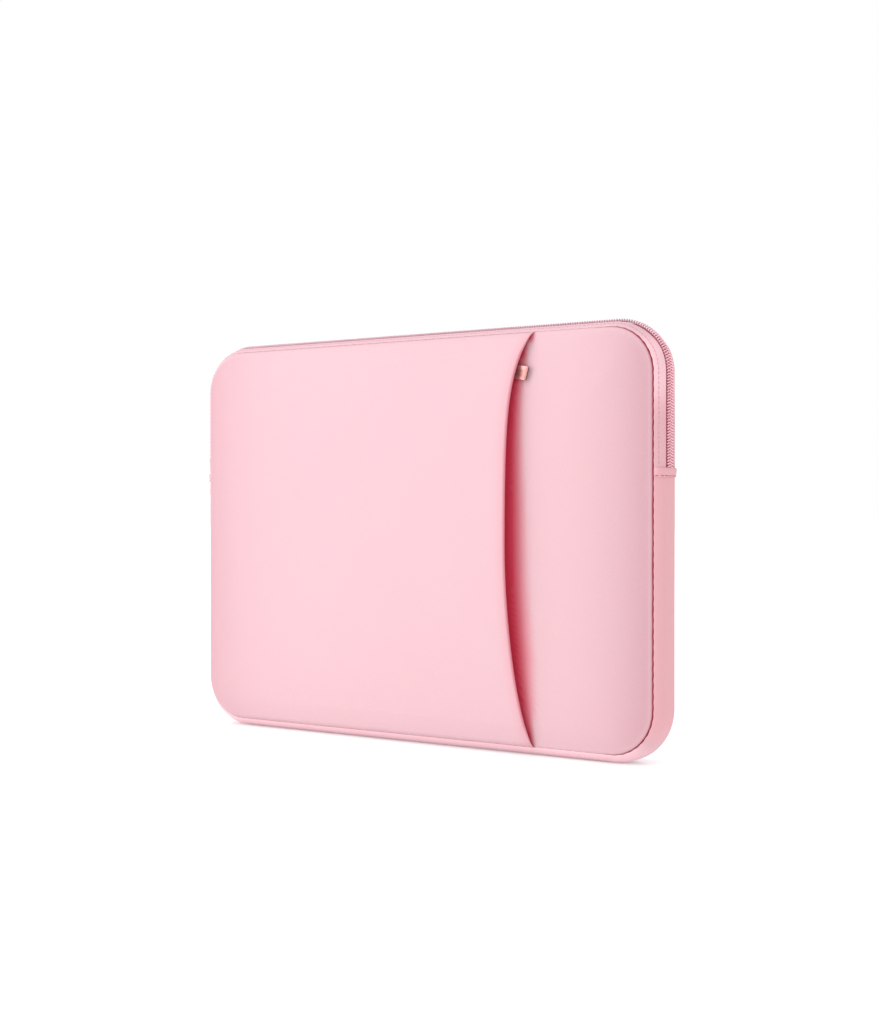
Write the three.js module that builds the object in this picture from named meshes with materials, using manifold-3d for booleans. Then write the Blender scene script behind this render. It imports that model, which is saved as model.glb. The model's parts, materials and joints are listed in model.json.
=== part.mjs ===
// A padded laptop sleeve that stands on its long edge. Millimetres, +Z up, +X to the right as seen
// from the front, -Y out of the front. The origin is the middle of the flat underside.
//
// Two crowned padded panels are sewn to a gusset that runs all the way round. The upper part of the
// gusset holds a coil zip, from an end tab on the left side, over the top, to one on the right side.
// With the zip run back, the top of the front folds forward. A second, thinner panel on the front
// covers the left part of it and makes a pocket that opens to the right.
import * as THREE from "three";
import { mergeVertices } from "three/addons/utils/BufferGeometryUtils.js";
import Module from "manifold-3d";

const wasm = await Module();
wasm.setup();

// ---- Driving dimensions ----
const WIDTH = 360;
const HEIGHT = 265;
const CREST_RADIUS = 33.5; // corner radius along the ridge of the gusset
const SEAM_INSET = 5; // the seams lie this far inside the ridge
const SEAM_HALF = 11.5; // each seam from the middle plane
const CROWN = 5; // how far a panel swells beyond its seam
const CROWN_REACH = 60; // width of the swelling border round a panel's flat middle
const CROWN_POWER = 3; // the higher, the steeper a panel swells close to its seam

const SHELL = 1.2; // outer fabric
const PADDING = 3;
const LINING = 0.8;
const LINING_INSET = 1.2; // from the seam, where the lining ends
const GAP = 0.35; // between neighbouring layers

const ZIP_HALF = 5.2; // half the width of the opening that the zip lies in, and of the flat ridge
const GUSSET_FALL = 4.4; // from the ridge down to where the gusset meets a seam
const GUSSET_POWER = 1.7; // the gusset's slope steepens towards the seams
const TAPE_HALF = 6.4; // half the width of both tapes, which lie a little under the gusset
const COIL_HALF_WIDTH = 3.3;
const COIL_SLIT = 0.9; // half the slit that the slider's neck runs in
const COIL_THICKNESS = 1.4;
const TAPE = 0.8;
const BINDING_WIDTH = 2.6;
const BINDING_TOP = -3.8; // against the ridge
const BINDING_THICKNESS = 1.1;

const FOLD_Z = 196; // line that the front folds forward about
const FOLD_GAP = 0.4;
const POCKET_FOLD_GAP = 5.2; // the pocket lies outside the fold's axis, so it needs room to fold
const TAB_LOW = 170.2;
const TAB_HIGH = 175.8;
const TAB_THICKNESS = 1.2;

const POCKET_PANEL = 2.2;
const POCKET_LINING = 0.6;
const POCKET_CLEARANCE = 0.8; // between the pocket's lining and the front, where both are flat
const POCKET_INSET = 1.5; // from the seam, where the pocket is caught in it
const POCKET_GAPE = 5; // how far the middle of the mouth stands off beyond its own thickness
const POCKET_SWELL_FROM = -150; // x where the standing off begins
const MOUTH_END_X = 93.5;
const MOUTH_BOW = 13.8; // how far the mouth's edge curves to the left at mid-height
const MOUTH_TOP_POWER = 4.5; // above mid-height the edge stays straighter, then turns to the seam
const MOUTH_DIP = 2.5; // the front is pressed in a little beside the mouth
const MOUTH_DIP_WIDTH = 30;

const SLIDER_Z = 179; // underside of the parked slider
const SLIDER_LENGTH = 14;
const SLIDER_WIDTH = 10;
const PLATE = 1.4;
const PULL_PIVOT_OUT = 3.1; // the pull's pivot from the ridge
const PULL_WIDTH = 7;
const PULL_THICKNESS = 1.1;
const PULL_LENGTH = 27;

const TAG_WIDTH = 19;
const TAG_HEIGHT = 8.8;
const TAG_THICKNESS = 0.9;
const TAG_STAND = 1.7; // the plate's middle from the front's surface
const TAG_X = 82.4;
const TAG_Z = 235.7;
const TAG_TILT = 0.18; // its right end is the lower one

// ---- Derived sizes ----
const HALF_WIDTH = WIDTH / 2;
const SEAM_HALF_WIDTH = HALF_WIDTH - SEAM_INSET;
const SEAM_LOW = SEAM_INSET;
const SEAM_HIGH = HEIGHT - SEAM_INSET;
const SEAM_RADIUS = CREST_RADIUS - SEAM_INSET;
const MIDDLE_Z = HEIGHT / 2;
const LAYERS = SHELL + PADDING + LINING + 2 * GAP;
const FOLD_LOW = FOLD_Z - FOLD_GAP / 2;
const FOLD_HIGH = FOLD_Z + FOLD_GAP / 2;
const TAB_MIDDLE = (TAB_LOW + TAB_HIGH) / 2;

// ---- Geometry helpers ----

// A closed body from corner points and triangles, turned so that its faces point out.
function closedBody(points, triangles) {
  let volume = 0;
  for (const [a, b, c] of triangles) {
    const cross = new THREE.Vector3().crossVectors(points[b], points[c]);
    volume += points[a].dot(cross);
  }
  const corners = triangles.flatMap(([a, b, c]) => (volume > 0 ? [a, b, c] : [a, c, b]));
  const geometry = new THREE.BufferGeometry().setFromPoints(corners.map((i) => points[i]));
  geometry.computeVertexNormals();
  return geometry;
}

function asSolid(geometry) {
  const bare = new THREE.BufferGeometry().setAttribute("position", geometry.getAttribute("position"));
  if (geometry.index) bare.setIndex(geometry.index);
  const merged = mergeVertices(bare, 1e-4);
  return new wasm.Manifold(
    new wasm.Mesh({
      numProp: 3,
      vertProperties: new Float32Array(merged.attributes.position.array),
      triVerts: new Uint32Array(merged.index.array),
    }),
  );
}

function fromSolid(solid) {
  const mesh = solid.getMesh();
  const geometry = new THREE.BufferGeometry();
  geometry.setAttribute("position", new THREE.BufferAttribute(mesh.vertProperties, mesh.numProp));
  geometry.setIndex(new THREE.BufferAttribute(mesh.triVerts, 1));
  const flat = geometry.toNonIndexed();
  flat.computeVertexNormals();
  return flat;
}

function block(low, high) {
  const size = high.map((value, axis) => value - low[axis]);
  const middle = high.map((value, axis) => (value + low[axis]) / 2);
  return new THREE.BoxGeometry(...size).translate(...middle);
}

// ---- The sleeve's outline and surfaces ----

// Distance of (x, z) inside the seam's rounded rectangle.
function insideSeam(x, z) {
  const across = Math.abs(x) - (SEAM_HALF_WIDTH - SEAM_RADIUS);
  const along = Math.abs(z - MIDDLE_Z) - ((SEAM_HIGH - SEAM_LOW) / 2 - SEAM_RADIUS);
  const corner = Math.hypot(Math.max(across, 0), Math.max(along, 0));
  return SEAM_RADIUS - corner - Math.min(Math.max(across, along), 0);
}

// Half the width of the seam's outline at height z, drawn in by inset.
function halfWidthAt(z, inset) {
  const radius = SEAM_RADIUS - inset;
  const fromEnd = (SEAM_HIGH - SEAM_LOW) / 2 - inset - Math.abs(z - MIDDLE_Z);
  const rise = Math.max(radius - Math.max(fromEnd, 0), 0);
  return SEAM_HALF_WIDTH - inset - radius + Math.sqrt(radius * radius - rise * rise);
}

function swell(x, z) {
  const share = Math.min(Math.max(insideSeam(x, z) / CROWN_REACH, 0), 1);
  return CROWN * (1 - (1 - share) ** CROWN_POWER);
}

// 1 at mid-height, 0 at the top and bottom seams.
function heightShare(z) {
  const t = (z - MIDDLE_Z) / ((SEAM_HIGH - SEAM_LOW) / 2);
  return Math.max(1 - t * t, 0);
}

function mouthX(z) {
  const t = Math.abs(z - MIDDLE_Z) / ((SEAM_HIGH - SEAM_LOW) / 2);
  const power = z > MIDDLE_Z ? MOUTH_TOP_POWER : 2;
  return MOUTH_END_X - MOUTH_BOW * (1 - Math.min(t, 1) ** power);
}

function frontFace(x, z) {
  const fromMouth = (x - mouthX(z)) / MOUTH_DIP_WIDTH;
  const dip = MOUTH_DIP * Math.exp(-fromMouth * fromMouth) * heightShare(z);
  return -(SEAM_HALF + swell(x, z)) + dip;
}

function backFace(x, z) {
  return SEAM_HALF + swell(x, z);
}

function pocketFace(x, z) {
  const share = Math.max(x - POCKET_SWELL_FROM, 0) / (mouthX(z) - POCKET_SWELL_FROM);
  const gape = POCKET_GAPE * share ** 1.6 * heightShare(z) ** 0.8;
  const layers = POCKET_PANEL + GAP + POCKET_LINING + POCKET_CLEARANCE;
  return -(SEAM_HALF + swell(x, z)) - layers - gape;
}

// Height of the gusset's outside against the ridge, across its width.
function gussetProfile(y) {
  const share = Math.max(Math.abs(y) - ZIP_HALF, 0) / (SEAM_HALF - ZIP_HALF);
  return -GUSSET_FALL * share ** GUSSET_POWER;
}

// ---- Panels: a grid between two heights and two side edges, with a thickness ----

const closeAtBothEnds = (t) => (1 - Math.cos(Math.PI * t)) / 2;
const closeAtStart = (t) => 1 - Math.cos((Math.PI / 2) * t);
const closeAtEnd = (t) => Math.sin((Math.PI / 2) * t);

function panel({ low, high, left, right, face, inwards, thickness, rows, columns, spacing }) {
  const points = [];
  for (const depth of [0, thickness]) {
    for (let row = 0; row <= rows; row += 1) {
      const z = low + (high - low) * spacing(row / rows);
      for (let column = 0; column <= columns; column += 1) {
        const across = closeAtBothEnds(column / columns);
        const x = left(z) + (right(z) - left(z)) * across;
        points.push(new THREE.Vector3(x, face(x, z) + inwards * depth, z));
      }
    }
  }
  const side = (rows + 1) * (columns + 1);
  const at = (layer, row, column) => layer * side + row * (columns + 1) + column;
  const triangles = [];
  const quad = (a, b, c, d) => triangles.push([a, b, c], [a, c, d]);
  for (let row = 0; row < rows; row += 1) {
    for (let column = 0; column < columns; column += 1) {
      const corners = (layer) => [
        at(layer, row, column),
        at(layer, row, column + 1),
        at(layer, row + 1, column + 1),
        at(layer, row + 1, column),
      ];
      quad(...corners(0));
      const [a, b, c, d] = corners(1);
      quad(a, d, c, b);
    }
  }
  for (let row = 0; row < rows; row += 1) {
    quad(at(0, row + 1, 0), at(1, row + 1, 0), at(1, row, 0), at(0, row, 0));
    quad(at(0, row, columns), at(1, row, columns), at(1, row + 1, columns), at(0, row + 1, columns));
  }
  for (let column = 0; column < columns; column += 1) {
    quad(at(0, 0, column), at(1, 0, column), at(1, 0, column + 1), at(0, 0, column + 1));
    quad(
      at(0, rows, column + 1),
      at(1, rows, column + 1),
      at(1, rows, column),
      at(0, rows, column),
    );
  }
  return closedBody(points, triangles);
}

const PANEL_COLUMNS = 14;

// One layer of a front or back panel. depth is how far its outside lies in from the panel's face.
function panelLayer({ face, inwards, depth, thickness, inset, low, high, rows, spacing }) {
  return panel({
    low: Math.max(low, SEAM_LOW + inset),
    high: Math.min(high, SEAM_HIGH - inset),
    left: (z) => -halfWidthAt(z, inset),
    right: (z) => halfWidthAt(z, inset),
    face: (x, z) => face(x, z) + inwards * depth,
    inwards,
    thickness,
    rows,
    columns: PANEL_COLUMNS,
    spacing,
  });
}

// ---- Gusset: sections in (y, out), swept along the ridge of the outline ----

const LEG_STEPS = 2;
const CORNER_STEPS = 8;
const SPAN_STEPS = 4;

// Stations from height legZ on the right side, over the top or under the bottom, to the left side.
function archPath(legZ, over) {
  const sign = over ? 1 : -1;
  const cornerX = HALF_WIDTH - CREST_RADIUS;
  const cornerZ = over ? HEIGHT - CREST_RADIUS : CREST_RADIUS;
  const stations = [];
  for (let step = 0; step < LEG_STEPS; step += 1) {
    const z = legZ + ((cornerZ - legZ) * step) / LEG_STEPS;
    stations.push({ x: HALF_WIDTH, z, outX: 1, outZ: 0 });
  }
  for (let step = 0; step <= CORNER_STEPS; step += 1) {
    const angle = ((Math.PI / 2) * step) / CORNER_STEPS;
    const outX = Math.cos(angle);
    const outZ = sign * Math.sin(angle);
    const x = cornerX + CREST_RADIUS * outX;
    stations.push({ x, z: cornerZ + CREST_RADIUS * outZ, outX, outZ });
  }
  for (let step = 1; step < SPAN_STEPS; step += 1) {
    const x = cornerX * (1 - (2 * step) / SPAN_STEPS);
    stations.push({ x, z: cornerZ + sign * CREST_RADIUS, outX: 0, outZ: sign });
  }
  const mirrored = stations
    .slice(0, LEG_STEPS + CORNER_STEPS + 1)
    .reverse()
    .map((station) => ({ ...station, x: -station.x, outX: -station.outX }));
  return [...stations, ...mirrored];
}

function sidePath(low, high, side) {
  return [low, high].map((z) => ({ x: side * HALF_WIDTH, z, outX: side, outZ: 0 }));
}

function ringPath() {
  const over = archPath(MIDDLE_Z, true);
  const under = archPath(MIDDLE_Z, false).reverse();
  return [...over.slice(0, -1), ...under.slice(0, -1)];
}

function sweep(section, stations, { closed = false } = {}) {
  const points = stations.flatMap((station) =>
    section.map(
      ([y, out]) =>
        new THREE.Vector3(station.x + station.outX * out, y, station.z + station.outZ * out),
    ),
  );
  const size = section.length;
  const triangles = [];
  const last = closed ? stations.length : stations.length - 1;
  for (let step = 0; step < last; step += 1) {
    const here = step * size;
    const next = ((step + 1) % stations.length) * size;
    for (let i = 0; i < size; i += 1) {
      const j = (i + 1) % size;
      triangles.push([here + i, here + j, next + j], [here + i, next + j, next + i]);
    }
  }
  if (!closed) {
    const outline = section.map(([y, out]) => new THREE.Vector2(y, out));
    const turn = Math.sign(THREE.ShapeUtils.area(outline));
    const end = (stations.length - 1) * size;
    for (const face of THREE.ShapeUtils.triangulateShape(outline, [])) {
      const sameTurn = Math.sign(THREE.ShapeUtils.area(face.map((i) => outline[i]))) === turn;
      const [a, b, c] = sameTurn ? face : [...face].reverse();
      triangles.push([c, b, a], [a + end, b + end, c + end]);
    }
  }
  return closedBody(points, triangles);
}

// A ribbon's section through the given y stations, between its outside and its inside.
function ribbon(stations, outside, inside) {
  const outer = stations.map((y) => [y, outside(y)]);
  const inner = stations.map((y) => [y, inside(y)]);
  return [...outer, ...inner.reverse()];
}

function band(from, to, inner, outer) {
  return ribbon([from, to], () => outer, () => inner);
}

const GUSSET_EDGE = SEAM_HALF - GAP;
const SLOPE_STATIONS = [GUSSET_EDGE, 10.2, 8.6, 7, ZIP_HALF + GAP];
const SEAM_CLEARANCE = -SEAM_INSET + GAP; // inside of the gusset where it passes a panel's rim
const gussetInside = (y) => Math.max(gussetProfile(y) - SHELL, SEAM_CLEARANCE);

// A strip between a seam and the zip, on the front (-1) or the back (1).
function zipStripSection(side) {
  return ribbon(SLOPE_STATIONS.map((y) => side * y), gussetProfile, gussetInside);
}

function tapeSection(side) {
  const top = -COIL_THICKNESS - GAP;
  return band(side * COIL_SLIT, side * TAPE_HALF, top - TAPE, top);
}

function coilSection(side) {
  return band(side * COIL_SLIT, side * COIL_HALF_WIDTH, -COIL_THICKNESS, 0);
}

// Right across the gusset, flat between the stations at the zip's half width.
const OUTER_STATIONS = [GUSSET_EDGE, 10.2, 8.6, 7, ZIP_HALF];
const ACROSS_STATIONS = [...OUTER_STATIONS.map((y) => -y), ...[...OUTER_STATIONS].reverse()];

// ---- Materials ----

function material(color, roughness, metalness = 0) {
  return new THREE.MeshStandardMaterial({ color, roughness, metalness });
}

const OUTER_PINK = 0xf6c6d0;
const LINING_PINK = 0xd98a9e;
const FOAM = 0xeadfe0;
const ZIP_PINK = 0xe8a9b8;
const PLATED = 0xd9c4bd;
const ROSE_GOLD = 0xe0a79a;

const outerFabric = () => material(OUTER_PINK, 0.75);
const liningFabric = () => material(LINING_PINK, 0.8);
const foam = () => material(FOAM, 0.95);
const zipTapeFabric = () => material(ZIP_PINK, 0.85);
const zipNylon = () => material(ZIP_PINK, 0.45);
const bindingTape = () => material(LINING_PINK, 0.85);
const plating = () => material(PLATED, 0.3, 0.95);
const roseGold = () => material(ROSE_GOLD, 0.25, 0.95);

const sleeve = new THREE.Group();
const flap = new THREE.Group();
sleeve.add(flap);

function add(group, name, geometry, finish) {
  const mesh = new THREE.Mesh(geometry, finish);
  mesh.name = name;
  group.add(mesh);
  return mesh;
}

// ---- Back panel ----

function addBackPanel() {
  const whole = {
    face: backFace, inwards: -1, low: SEAM_LOW, high: SEAM_HIGH, spacing: closeAtBothEnds, rows: 14,
  };
  const shell = panelLayer({ ...whole, depth: 0, thickness: SHELL, inset: 0 });
  const paddingDepth = SHELL + GAP;
  const padding = panelLayer({ ...whole, depth: paddingDepth, thickness: PADDING, inset: GAP });
  const liningDepth = paddingDepth + PADDING + GAP;
  const lining = panelLayer({
    ...whole, depth: liningDepth, thickness: LINING, inset: LINING_INSET,
  });
  add(sleeve, "back_shell", shell, outerFabric());
  add(sleeve, "back_padding", padding, foam());
  add(sleeve, "back_lining", lining, liningFabric());
}

// ---- Front panel, in a lower part and the part of the flap ----

function addFrontPanel(group, suffix, low, high, spacing, rows) {
  const whole = { face: frontFace, inwards: 1, low, high, spacing, rows };
  const shell = panelLayer({ ...whole, depth: 0, thickness: SHELL, inset: 0 });
  const paddingDepth = SHELL + GAP;
  let padding = panelLayer({ ...whole, depth: paddingDepth, thickness: PADDING, inset: GAP });
  if (group === flap) padding = withTagRecess(padding);
  const liningDepth = paddingDepth + PADDING + GAP;
  const lining = panelLayer({
    ...whole, depth: liningDepth, thickness: LINING, inset: LINING_INSET,
  });
  add(group, `front_shell_${suffix}`, shell, outerFabric());
  add(group, `front_padding_${suffix}`, padding, foam());
  add(group, `front_lining_${suffix}`, lining, liningFabric());
}

// ---- Pocket on the front ----

function addPocket(group, suffix, low, high, spacing, rows) {
  const shared = {
    low: Math.max(low, SEAM_LOW + POCKET_INSET),
    high: Math.min(high, SEAM_HIGH - POCKET_INSET),
    left: (z) => -halfWidthAt(z, POCKET_INSET),
    right: (z) => Math.min(mouthX(z), halfWidthAt(z, POCKET_INSET)),
    inwards: 1,
    rows,
    columns: 12,
    spacing,
  };
  const liningDepth = POCKET_PANEL + GAP;
  const outer = panel({ ...shared, face: pocketFace, thickness: POCKET_PANEL });
  const lining = panel({
    ...shared, face: (x, z) => pocketFace(x, z) + liningDepth, thickness: POCKET_LINING,
  });
  add(group, `pocket_panel_${suffix}`, outer, outerFabric());
  add(group, `pocket_lining_${suffix}`, lining, liningFabric());
}

// ---- Gusset below the zip ----

function addBottomGusset() {
  const path = archPath(TAB_MIDDLE - GAP, false);
  const linedPath = archPath(TAB_LOW, false);
  const shell = ribbon(ACROSS_STATIONS, gussetProfile, gussetInside);
  const paddingTop = -SHELL - GAP;
  const paddingLow = -SEAM_INSET + 2 * GAP;
  const paddingHalf = ZIP_HALF - GAP;
  const liningTop = paddingLow - GAP;
  const liningHalf = SEAM_HALF - LAYERS - GAP;
  add(sleeve, "bottom_gusset", sweep(shell, path), outerFabric());
  const padding = band(-paddingHalf, paddingHalf, paddingLow, paddingTop);
  add(sleeve, "bottom_gusset_padding", sweep(padding, linedPath), foam());
  const lining = band(-liningHalf, liningHalf, liningTop - LINING, liningTop);
  add(sleeve, "bottom_gusset_lining", sweep(lining, linedPath), liningFabric());
}

// ---- Zip: on each side of it a strip of gusset, a tape and half the coil ----

const ZIP_START = TAB_MIDDLE + GAP;
const STOP_LOW = ZIP_START + GAP;
const STOP_HEIGHT = 1.5;
const COIL_START = STOP_LOW + STOP_HEIGHT + GAP;

function addZipHalf(group, names, side, start, coilStart, makePath) {
  add(group, names.strip, sweep(zipStripSection(side), makePath(start)), outerFabric());
  add(group, names.tape, sweep(tapeSection(side), makePath(start)), zipTapeFabric());
  add(group, names.coil, sweep(coilSection(side), makePath(coilStart)), zipNylon());
}

function addZip() {
  const overTop = (start) => archPath(start, true);
  const back = { strip: "back_zip_gusset", tape: "back_zip_tape", coil: "back_zip_coil" };
  addZipHalf(sleeve, back, 1, ZIP_START, COIL_START, overTop);
  const front = {
    strip: "front_zip_gusset_upper",
    tape: "front_zip_tape_upper",
    coil: "front_zip_coil_upper",
  };
  addZipHalf(flap, front, -1, FOLD_HIGH, FOLD_HIGH, overTop);
  for (const [word, side] of [["left", -1], ["right", 1]]) {
    const lower = {
      strip: `front_zip_gusset_lower_${word}`,
      tape: `front_zip_tape_lower_${word}`,
      coil: `front_zip_coil_lower_${word}`,
    };
    const upToFold = (start) => sidePath(start, FOLD_LOW, side);
    addZipHalf(sleeve, lower, -1, ZIP_START, COIL_START, upToFold);
    const stopSection = band(-COIL_HALF_WIDTH, COIL_HALF_WIDTH, -COIL_THICKNESS, 0);
    const stopPath = sidePath(STOP_LOW, STOP_LOW + STOP_HEIGHT, side);
    add(sleeve, `zip_stop_${word}`, sweep(stopSection, stopPath), plating());
  }
}

// ---- Tabs over the ends of the zip ----

function addEndTabs() {
  const under = (y) => gussetProfile(y) + GAP;
  const over = (y) => under(y) + TAB_THICKNESS;
  const section = ribbon(ACROSS_STATIONS, over, under);
  for (const [word, side] of [["left", -1], ["right", 1]]) {
    const path = sidePath(TAB_LOW, TAB_HIGH, side);
    add(sleeve, `zip_end_tab_${word}`, sweep(section, path), outerFabric());
  }
}

// ---- Bindings that cover the seams inside ----

function addBindings() {
  const nearSeam = SEAM_HALF - SHELL - 2 * GAP;
  const low = BINDING_TOP - BINDING_THICKNESS;
  const section = (side) => band(side * (nearSeam - BINDING_WIDTH), side * nearSeam, low, BINDING_TOP);
  add(sleeve, "back_seam_binding", sweep(section(1), ringPath(), { closed: true }), bindingTape());
  const lower = sweep(section(-1), archPath(FOLD_LOW, false));
  add(sleeve, "front_seam_binding_lower", lower, bindingTape());
  const upper = sweep(section(-1), archPath(FOLD_HIGH, true));
  add(flap, "front_seam_binding_upper", upper, bindingTape());
}

// ---- Zip slider and its pull, parked at the lower end of the zip on the left side ----

// Local frame of the slider: x is out of the sleeve's left side, y as the sleeve, z up.
function sliderBody() {
  const half = SLIDER_WIDTH / 2;
  const topLow = 0.7;
  const topHigh = topLow + PLATE;
  const bottomHigh = -COIL_THICKNESS - 2 * GAP - TAPE - 0.1;
  const flange = 1.1;
  const neckHalf = 0.55;
  const bridgeHalf = 1.3;
  const bridgeLow = 2.6;
  const bridgeHigh = SLIDER_LENGTH - 2.6;
  const bridgeOut = PULL_PIVOT_OUT + 1.9;
  const leg = 1.3;
  const pieces = [
    block([topLow, -half, 0], [topHigh, half, SLIDER_LENGTH]),
    block([bottomHigh - PLATE, -half + 0.8, 0], [bottomHigh, half - 0.8, SLIDER_LENGTH]),
    block([-0.9, -half, 0], [topLow + 0.1, -half + flange, SLIDER_LENGTH]),
    block([-0.9, half - flange, 0], [topLow + 0.1, half, SLIDER_LENGTH]),
    block([bottomHigh - 0.1, -neckHalf, 0], [topLow + 0.1, neckHalf, 4]),
    block([topHigh - 0.1, -bridgeHalf, bridgeLow], [bridgeOut, bridgeHalf, bridgeLow + leg]),
    block([topHigh - 0.1, -bridgeHalf, bridgeHigh - leg], [bridgeOut, bridgeHalf, bridgeHigh]),
    block([bridgeOut - 1, -bridgeHalf, bridgeLow], [bridgeOut, bridgeHalf, bridgeHigh]),
  ];
  return fromSolid(pieces.map(asSolid).reduce((whole, piece) => whole.add(piece)));
}

function pullTab() {
  const crossbar = 0.6;
  const windowHalf = 1.9;
  const windowLength = 7.4;
  const half = PULL_WIDTH / 2;
  const outline = new THREE.Shape();
  outline.moveTo(-half, crossbar);
  outline.lineTo(-half, -PULL_LENGTH + half);
  outline.absarc(0, -PULL_LENGTH + half, half, Math.PI, 2 * Math.PI, false);
  outline.lineTo(half, crossbar);
  outline.closePath();
  const window = new THREE.Path();
  window.moveTo(-windowHalf, -crossbar);
  window.lineTo(windowHalf, -crossbar);
  window.lineTo(windowHalf, -crossbar - windowLength);
  window.lineTo(-windowHalf, -crossbar - windowLength);
  window.closePath();
  outline.holes.push(window);
  const plate = new THREE.ExtrudeGeometry(outline, {
    depth: PULL_THICKNESS,
    bevelEnabled: false,
    curveSegments: 8,
  });
  // The outline's x runs along the sleeve's depth, its y up, and its thickness outwards.
  return plate.translate(0, 0, -PULL_THICKNESS / 2).rotateX(Math.PI / 2).rotateZ(Math.PI / 2);
}

function addSlider() {
  const slider = new THREE.Group();
  slider.position.set(-HALF_WIDTH, 0, SLIDER_Z);
  slider.rotation.z = Math.PI;
  add(slider, "slider_body", sliderBody(), plating());
  const pull = add(slider, "pull_tab", pullTab(), plating());
  pull.position.set(PULL_PIVOT_OUT, 0, SLIDER_LENGTH / 2);
  sleeve.add(slider);
}

// ---- Metal tag beside the pocket's mouth, and the washer that holds it from behind ----

const WASHER_THICKNESS = 0.5;
const WASHER_WIDTH = TAG_WIDTH - 5;
const WASHER_HEIGHT = TAG_HEIGHT - 3;
const WASHER_Y = frontFace(TAG_X, TAG_Z) + SHELL + 4 * GAP;

function withTagRecess(padding) {
  const room = 2 * GAP;
  const halfWidth = WASHER_WIDTH / 2 + room;
  const halfHeight = WASHER_HEIGHT / 2 + room;
  const cutter = block(
    [TAG_X - halfWidth, WASHER_Y - 5, TAG_Z - halfHeight],
    [TAG_X + halfWidth, WASHER_Y + WASHER_THICKNESS + room, TAG_Z + halfHeight],
  );
  return fromSolid(asSolid(padding).subtract(asSolid(cutter)));
}

function addTag() {
  const blank = new THREE.BoxGeometry(TAG_WIDTH, TAG_THICKNESS, TAG_HEIGHT);
  const plate = add(flap, "metal_tag", blank, roseGold());
  plate.position.set(TAG_X, frontFace(TAG_X, TAG_Z) - TAG_STAND, TAG_Z);
  plate.rotation.y = TAG_TILT;
  const washer = new THREE.BoxGeometry(WASHER_WIDTH, WASHER_THICKNESS, WASHER_HEIGHT);
  const backing = add(flap, "tag_washer", washer, plating());
  backing.position.set(TAG_X, WASHER_Y, TAG_Z);
}

addBackPanel();
addFrontPanel(sleeve, "lower", SEAM_LOW, FOLD_LOW, closeAtStart, 10);
addFrontPanel(flap, "upper", FOLD_HIGH, SEAM_HIGH, closeAtEnd, 7);
addPocket(sleeve, "lower", SEAM_LOW, FOLD_HIGH - POCKET_FOLD_GAP, closeAtStart, 9);
addPocket(flap, "upper", FOLD_HIGH, SEAM_HIGH, closeAtEnd, 6);
addBottomGusset();
addZip();
addEndTabs();
addBindings();
addSlider();
addTag();

export default sleeve;
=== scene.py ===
"""A pale pink padded laptop sleeve, standing on its long edge.

Metres, +Z up, -Y out of the front. Every fabric piece is built on the same few surfaces: a seam's
rounded outline, the swell of the padded panels inside it, and the gusset's ridge round the outside.
"""

import json
import math

import bmesh
import bpy
import numpy as np
from mathutils import Matrix, Vector


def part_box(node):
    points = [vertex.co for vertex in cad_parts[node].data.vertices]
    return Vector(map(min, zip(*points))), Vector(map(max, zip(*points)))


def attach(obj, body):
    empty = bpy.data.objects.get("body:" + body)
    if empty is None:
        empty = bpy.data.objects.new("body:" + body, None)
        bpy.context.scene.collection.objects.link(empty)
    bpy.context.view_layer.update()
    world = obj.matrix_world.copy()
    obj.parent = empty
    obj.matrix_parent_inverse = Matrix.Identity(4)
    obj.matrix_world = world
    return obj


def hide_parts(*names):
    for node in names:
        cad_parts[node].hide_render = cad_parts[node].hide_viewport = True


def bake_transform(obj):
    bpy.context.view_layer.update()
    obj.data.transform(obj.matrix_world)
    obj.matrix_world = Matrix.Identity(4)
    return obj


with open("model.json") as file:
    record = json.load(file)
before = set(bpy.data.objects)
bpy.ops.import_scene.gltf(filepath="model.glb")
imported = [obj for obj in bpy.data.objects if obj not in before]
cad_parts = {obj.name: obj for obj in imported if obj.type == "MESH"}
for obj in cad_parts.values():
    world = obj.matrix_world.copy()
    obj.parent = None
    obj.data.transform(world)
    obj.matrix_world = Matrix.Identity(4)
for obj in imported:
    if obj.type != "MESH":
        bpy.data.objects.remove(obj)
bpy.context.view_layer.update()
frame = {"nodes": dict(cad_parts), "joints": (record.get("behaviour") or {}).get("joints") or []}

MM = 0.001


def node_box(node):
    low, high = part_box(node)
    return Vector(low), Vector(high)


# ---- Sizes, from the frame where it holds them ----

back_low, back_high = node_box("back_shell")
tab_low, tab_high = node_box("zip_end_tab_right")
slider_low, slider_high = node_box("slider_body")
tag_low, tag_high = node_box("metal_tag")
joints = {joint["name"]: joint for joint in frame["joints"]}

SEAM_HALF_WIDTH = back_high.x
SEAM_LOW = back_low.z
SEAM_HIGH = back_high.z
MIDDLE_Z = (SEAM_LOW + SEAM_HIGH) / 2
SEAM_HALF_HEIGHT = (SEAM_HIGH - SEAM_LOW) / 2
SEAM_INSET = 5 * MM  # the seams lie this far inside the gusset's ridge
SEAM_RADIUS = 28.5 * MM
SEAM_HALF = 11.5 * MM  # each seam from the middle plane
CROWN = 5 * MM
CROWN_REACH = 60 * MM
HALF_WIDTH = SEAM_HALF_WIDTH + SEAM_INSET
HEIGHT = SEAM_HIGH + SEAM_INSET
CREST_RADIUS = SEAM_RADIUS + SEAM_INSET

COVER = 1.2 * MM
FOAM = 3 * MM
LINING = 0.8 * MM
LAYER_GAP = 0.3 * MM

GUSSET_FLAT = 5 * MM  # the ridge is flat this far either side of the middle plane
GUSSET_EDGE = 11.2 * MM
GUSSET_FALL = 4.4 * MM
TAB_LOW = tab_low.z
TAB_HIGH = tab_high.z
PULL_PIVOT = Vector(joints["pull_swing"]["pos_m"])

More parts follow.
